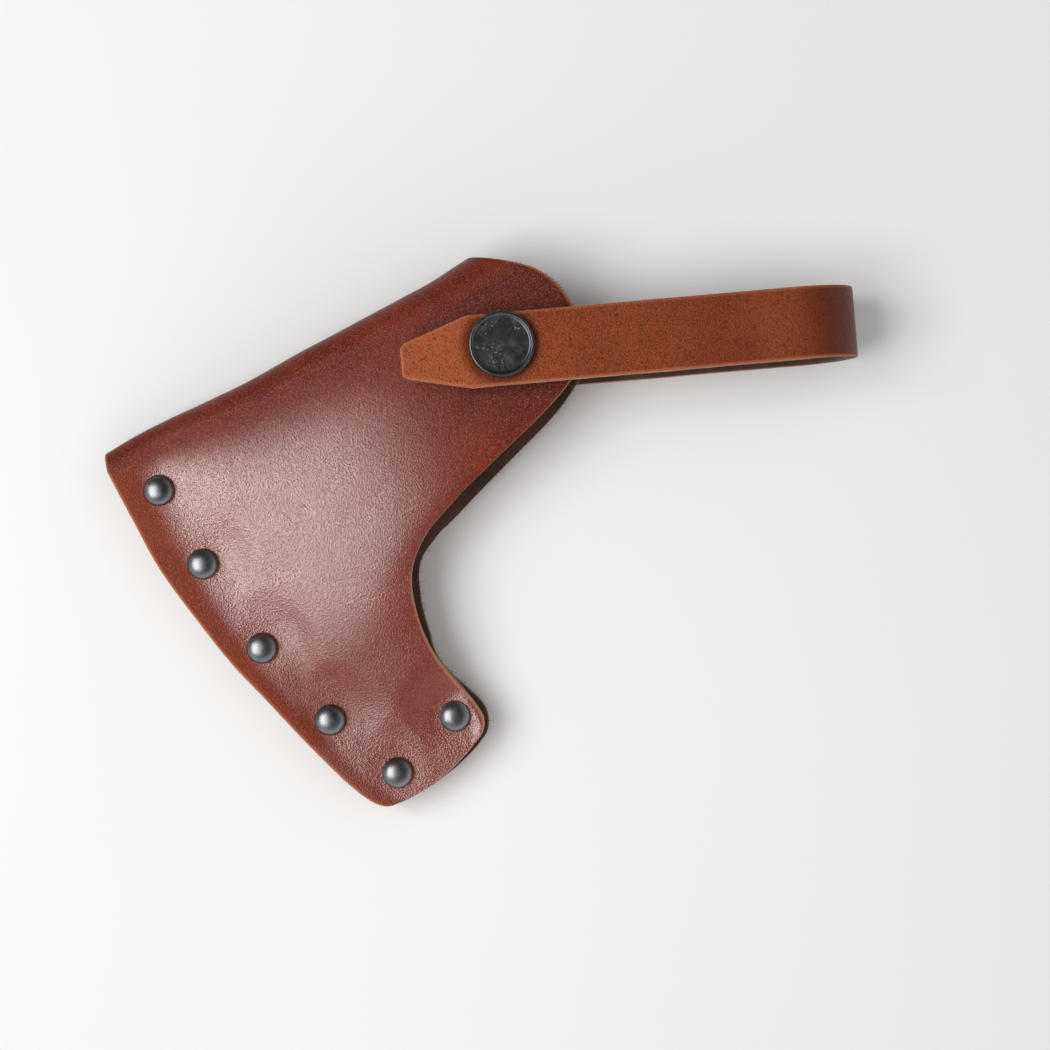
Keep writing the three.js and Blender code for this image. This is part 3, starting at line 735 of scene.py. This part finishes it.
def build_rivet(name, node, x, y, under, dome):
    profile = [(0, under), (2.4, under), (3.45, under), (3.78, under + 0.02), (3.95, under + 0.13)]
    for t in np.linspace(0, np.pi / 2 - 0.06, 22):
        height = under + RIVET_LIP + (dome - RIVET_LIP) * math.sin(t) ** 1.08
        profile.append((RIVET_RADIUS * math.cos(t) ** 0.9, height))
    profile.append((0, under + dome))
    obj = turned(name, profile, [RIVET], 80, (x, y))
    add(obj, "sheath", "rivet_gunmetal", node)


def build_base(name, node, x, y):
    profile = [
        (0, 1.7), (3.7, 1.7), (3.95, 1.45), (4.0, 1.15), (3.9, 0.55), (3.6, 0.2), (3.2, 0.02), (3.0, 0.0),
        (1.75, 0.0), (1.6, 0.12), (1.45, 0.3), (0.0, 0.34)]
    obj = turned(name, profile, [BASE], 64, (x, y))
    add(obj, "sheath", "rivet_gunmetal", node)


# ---------------------------------------------------------------- the strap
STRAP_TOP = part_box("strap_front_run")[1].z / MM
STRAP_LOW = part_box("strap_rear_run")[0].z / MM
BEND_Z = (STRAP_TOP + STRAP_LOW) / 2
BEND_OUT = (STRAP_TOP - STRAP_LOW) / 2
BEND_MID = BEND_OUT - HALF
hinge_xy = HINGE[:2] - np.array([OX, OY]) - SNAP
REACH = float(hinge_xy @ U)
OFFSET = float(hinge_xy @ N)
BEND_S = REACH - BEND_OUT
STRAP_HALF = 9.0
TIP_S, REAR_S = -25.3, -18.0
UPPER, LOWER, TAPER = 3.0, 5.2, 17.0


def strap_path(length):
    """(s, z) of the strap's middle, by length from the rear end."""
    rear = BEND_S - REAR_S
    arc = math.pi * BEND_MID
    t = np.clip((length - rear) / arc, 0, 1) * np.pi - np.pi / 2
    s = np.where(length < rear, REAR_S + length, BEND_S + BEND_MID * np.cos(t))
    s = np.where(length > rear + arc, BEND_S - (length - rear - arc), s)
    return s, BEND_Z + BEND_MID * np.sin(t)


def build_strap():
    rear, arc, front = BEND_S - REAR_S, math.pi * BEND_MID, BEND_S - TIP_S
    total = rear + arc + front
    rim = np.array([0.0, 0.07, 0.2, 0.45])
    length = np.r_[rim, np.linspace(0.9, total - 0.9, 380), (total - rim)[::-1]]
    s, z = strap_path(length)
    from_tip = total - length
    from_rear = length

    def half(limit):
        h = limit + (STRAP_HALF - limit) * np.minimum(from_tip / TAPER, 1)
        h = h - 1.3 * (1 - np.sqrt(np.clip(1 - np.clip(1 - from_tip / 1.3, 0, 1) ** 2, 0, 1)))
        corner = 2.6 * (1 - np.sqrt(np.clip(1 - np.clip(1 - from_rear / 2.6, 0, 1) ** 2, 0, 1)))
        wave = 0.07 * value_noise(np.stack([length, length * 0 + limit, length * 0], -1), 14, 2)
        return h - corner * (from_rear < 3) + wave * smooth(from_tip, 2, 8)

    up, down = half(UPPER), half(LOWER)
    w = []
    for a, b in zip(up, down):
        w.append(np.r_[-b + rim, np.linspace(-b + 0.9, a - 0.9, 30), (a - rim)[::-1]])
    w = np.array(w)
    px, py = on_strap(s[:, None], OFFSET + w)
    mid = np.stack([px, py, np.repeat(z[:, None], w.shape[1], 1)], -1)
    sides = np.minimum(w + down[:, None], up[:, None] - w)
    edge = np.minimum(sides, np.minimum(from_tip, from_rear)[:, None])
    on_front = (length > rear + arc)[:, None]
    r = np.hypot(s[:, None], OFFSET + w)
    angle = np.arctan2(OFFSET + w, s[:, None])
    relief = 0.07 * value_noise(mid, 9, 4) + 0.03 * value_noise(mid, 3.2, 6)
    ring = -0.30 * (1 - smooth(r, 7.6, 9.6)) + 0.13 * smooth(r, 8.8, 10.2) * (1 - smooth(r, 10.5, 14.0))
    pucker = 0.035 * np.sin(23 * angle + 2 * value_noise(mid, 4, 1))
    pucker = pucker * smooth(r, 8.3, 9.4) * (1 - smooth(r, 10.5, 14))
    relief = relief + np.where(on_front, ring + pucker, 0)
    # painted shade: darker in the bend, in a ring round the snap cap, and towards the bend
    bend = smooth(np.abs(length - rear - arc / 2), arc * 0.62, arc * 0.25)[:, None] * np.ones_like(w)
    along = s[:, None]
    dark = 0.75 * bend + 0.8 * on_front * smooth(r, 11.5, 8.4) + 0.45 * smooth(along, 32, 66)
    dark = np.clip(dark, 0, 1)
    # painted light: the front run lighter towards its tip; the noise term is random paler tone
    tone_and_painted_light = on_front * smooth(along, 6, -18) + 0.35 * smooth(value_noise(mid, 20, 12), 0.2, 0.8)
    tone_and_painted_light = np.clip(tone_and_painted_light, 0, 1)
    obj, *_ = leather_sheet(
        "strap_leather", mid[:, ::-1], edge[:, ::-1], [STRAP, FLESH, STRAP_EDGE], relief[:, ::-1],
        {"dark": dark[:, ::-1], "tone_and_painted_light": tone_and_painted_light[:, ::-1]}, 0.06)
    base = to_row(np.array([*on_strap(REACH, OFFSET), 0.0]))
    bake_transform(obj)
    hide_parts("strap_front_run", "strap_rear_run")


# ---------------------------------------------------------------- the snap
def build_snap_cap(x, y):
    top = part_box("snap_cap")[1].z / MM
    low = STRAP_TOP - 0.12
    face = top - 0.42
    outline = rounded([
        (0, low + 0.02), (7.6, low + 0.02), (8.22, low + 0.25), (8.3, low + 1.2), (8.12, top - 0.18),
        (7.82, top), (7.45, top - 0.03), (7.2, face + 0.12), (6.95, face), (6.0, face),
        (3.0, face - 0.03), (0, face - 0.05)], 0.12, 4)
    radius = np.array([p[0] for p in outline])
    worn = np.where(radius < 6.6, 1.0, np.where(radius < 7.4, 0.35, 0.15))
    per_vertex = []
    for r, w in zip(radius, worn):
        per_vertex += [w] if r < 1e-6 else [w] * 96
    cap = turned("snap_cap_black", outline, [BLACK], 96, (x, y), {"worn": per_vertex})
    add(cap, "strap_flap", "snap_black", "snap_cap")


def build_snap_socket(x, y):
    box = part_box("snap_socket")
    a, b = box[0].z / MM, box[1].z / MM
    socket = rounded([
        (1.95, b - 0.5), (4.0, b - 0.5), (4.0, a + 0.45), (3.4, a + 0.35), (3.4, a), (4.5, a),
        (4.9, a + 0.25), (5.2, b - 0.7), (6.3, b - 0.4), (6.2, b), (1.95, b), (1.95, b - 0.5)], 0.12, 3)
    socket = turned("snap_socket_black", socket, [BLACK], 72, (x, y))
    add(socket, "strap_flap", "snap_black", "snap_socket")


def build_snap_stud(x, y):
    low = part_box("snap_stud")[0].z / MM
    flange = low + 0.7
    stud = rounded([
        (1.75, low), (5.2, low), (5.4, low + 0.4), (5.2, flange), (2.6, flange), (2.35, flange + 0.6),
        (2.75, flange + 1.3), (2.45, flange + 1.9), (1.75, flange + 2.0), (1.75, low)], 0.15, 3)
    stud = turned("snap_stud_black", stud, [BLACK], 72, (x, y))
    add(stud, "sheath", "snap_black", "snap_stud")


def build_snap_eyelet(x, y):
    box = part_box("snap_eyelet")
    a, b = box[0].z / MM, box[1].z / MM
    eyelet = rounded([
        (1.0, a), (4.6, a), (5.0, a + 0.3), (4.8, a + 0.6), (1.45, a + 0.6), (1.45, b), (1.0, b),
        (1.0, a)], 0.1, 3)
    eyelet = turned("snap_eyelet_black", eyelet, [BLACK], 64, (x, y))
    add(eyelet, "sheath", "snap_black", "snap_eyelet")


def build_snap_spring(x, y):
    """A split ring of wire: gap is the angle left open on each side of its ends."""
    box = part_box("snap_spring")
    z = (box[0].z + box[1].z) / 2 / MM
    ring_radius, wire_radius, gap = 3.35, 0.3, 0.25
    verts, faces = [], []
    turns, sides = 90, 12
    tilt = math.atan2(-NX, NY)
    for i in range(turns + 1):
        a = gap + i / turns * (2 * math.pi - 2 * gap) + tilt
        for k in range(sides):
            t = k / sides * 2 * math.pi
            r = ring_radius + wire_radius * math.cos(t)
            verts.append((x + r * math.cos(a), y + r * math.sin(a), z + wire_radius * math.sin(t)))
    for i in range(turns):
        for k in range(sides):
            a, b = i * sides + k, i * sides + (k + 1) % sides
            faces.append((a, b, b + sides, a + sides))
    faces.append(tuple(range(sides))[::-1])
    faces.append(tuple(turns * sides + k for k in range(sides)))
    spring = make_object("snap_spring_wire", to_row(verts), [f[::-1] for f in faces], [WIRE])
    add(spring, "strap_flap", "spring_steel", "snap_spring")


outer, inner = build_sheath()
build_fibres(outer, inner)
build_welt()
for i, (rx, ry) in enumerate(RIVETS):
    build_rivet(f"rivet_dome_{i + 1}", f"rivet_cap_{i + 1}", rx, ry, FRONT_MID + HALF - 0.05, 2.55)
    build_base(f"rivet_foot_{i + 1}", f"rivet_base_{i + 1}", rx, ry)
for i in (1, 2):
    c = centre(f"strap_rivet_cap_{i}")
    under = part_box(f"strap_rivet_cap_{i}")[1].z / MM - 1.5
    cx, cy = c.x / MM - OX, c.y / MM - OY
    build_rivet(f"strap_rivet_dome_{i}", f"strap_rivet_cap_{i}", cx, cy, under - 0.15, 1.65)
    build_base(f"strap_rivet_foot_{i}", f"strap_rivet_base_{i}", cx, cy)
build_strap()
for build in (build_snap_cap, build_snap_socket, build_snap_stud, build_snap_eyelet, build_snap_spring):
    build(*SNAP)


# ---------------------------------------------------------------- table, light, camera
def floor_material():
    n = Nodes("pale_table")
    cloud = n.noise(3.0, 3, 0.5)
    colour = n.mix(n.span(cloud, 0.3, 0.7), (0.80, 0.80, 0.80), (0.83, 0.83, 0.83))
    normal = n.bump(n.noise(900, 3, 0.6), 0.05, 0.00008)
    return n.finish(colour, 0.75, normal, IOR=1.4, Specular_IOR_Level=0.25)


TABLE_HALF, TABLE_Z = 3, -0.00005
corners = [(x * TABLE_HALF, y * TABLE_HALF, TABLE_Z) for x, y in ((-1, -1), (1, -1), (1, 1), (-1, 1))]
table = make_object("table", corners, [(0, 1, 2, 3)], [floor_material()], None, False)

ANGLE = math.radians(-28)
camera = bpy.data.objects.new("camera", bpy.data.cameras.new("camera"))
bpy.context.scene.collection.objects.link(camera)
camera.location = (OX * MM, OY * MM, 0.6)
camera.rotation_euler = (0, 0, ANGLE)
camera.data.sensor_width = 36
camera.data.lens = 78.5
camera.data.clip_start = 0.01
camera.data.dof.use_dof = False
bpy.context.scene.camera = camera

RIGHT = np.array([math.cos(ANGLE), math.sin(ANGLE), 0])
UP = np.array([-math.sin(ANGLE), math.cos(ANGLE), 0])


def area(name, direction, elevation, distance, size, power, colour=(1, 1, 1)):
    """Soft light from a picture direction: (right, up) and an elevation in degrees."""
    flat = RIGHT * direction[0] + UP * direction[1]
    flat = flat / np.linalg.norm(flat)
    e = math.radians(elevation)
    place = Vector(flat * math.cos(e) * distance + np.array([0, 0, math.sin(e) * distance]))
    light = bpy.data.lights.new(name, "AREA")
    light.shape = "RECTANGLE"
    light.size, light.size_y = size
    light.energy = power
    light.color = colour
    obj = bpy.data.objects.new(name, light)
    obj.location = place
    obj.rotation_euler = (-place).to_track_quat("-Z", "Y").to_euler()
    bpy.context.scene.collection.objects.link(obj)
    return obj


area("window", (-1.0, -0.12), 54, 1.1, (0.85, 0.68), 10.2, (1.0, 0.995, 0.985))
ceiling = area("ceiling", (0.3, 0.1), 80, 1.3, (2.2, 2.2), 8.0, (1.0, 1.0, 1.0))
ceiling.visible_glossy = False

world = bpy.data.worlds.new("room")
world.use_nodes = True
bpy.context.scene.world = world
tree = world.node_tree
back = tree.nodes["Background"]
coord = tree.nodes.new("ShaderNodeTexCoord")


def room_range(value, low, high, first, last):
    node = tree.nodes.new("ShaderNodeMapRange")
    for key, number in (("From Min", low), ("From Max", high), ("To Min", first), ("To Max", last)):
        node.inputs[key].default_value = number
    tree.links.new(value, node.inputs["Value"])
    return node.outputs[0]


# Pale walls low down, darker by the fold, and a dark ceiling
height = tree.nodes.new("ShaderNodeSeparateXYZ")
tree.links.new(coord.outputs["Generated"], height.inputs[0])
dot = tree.nodes.new("ShaderNodeVectorMath")
dot.operation = "DOT_PRODUCT"
tree.links.new(coord.outputs["Generated"], dot.inputs[0])
dot.inputs[1].default_value = tuple(UP * 0.88 - RIGHT * 0.47)
room = tree.nodes.new("ShaderNodeMath")
room.operation = "MULTIPLY"
tree.links.new(room_range(height.outputs["Z"], 0.3, 0.85, 1.0, 0.05), room.inputs[0])
tree.links.new(room_range(dot.outputs["Value"], -0.8, 0.8, 1.1, 0.12), room.inputs[1])
tree.links.new(room.outputs[0], back.inputs["Strength"])
back.inputs["Color"].default_value = (1, 1, 1, 1)
bpy.context.scene.view_settings.view_transform = "Standard"
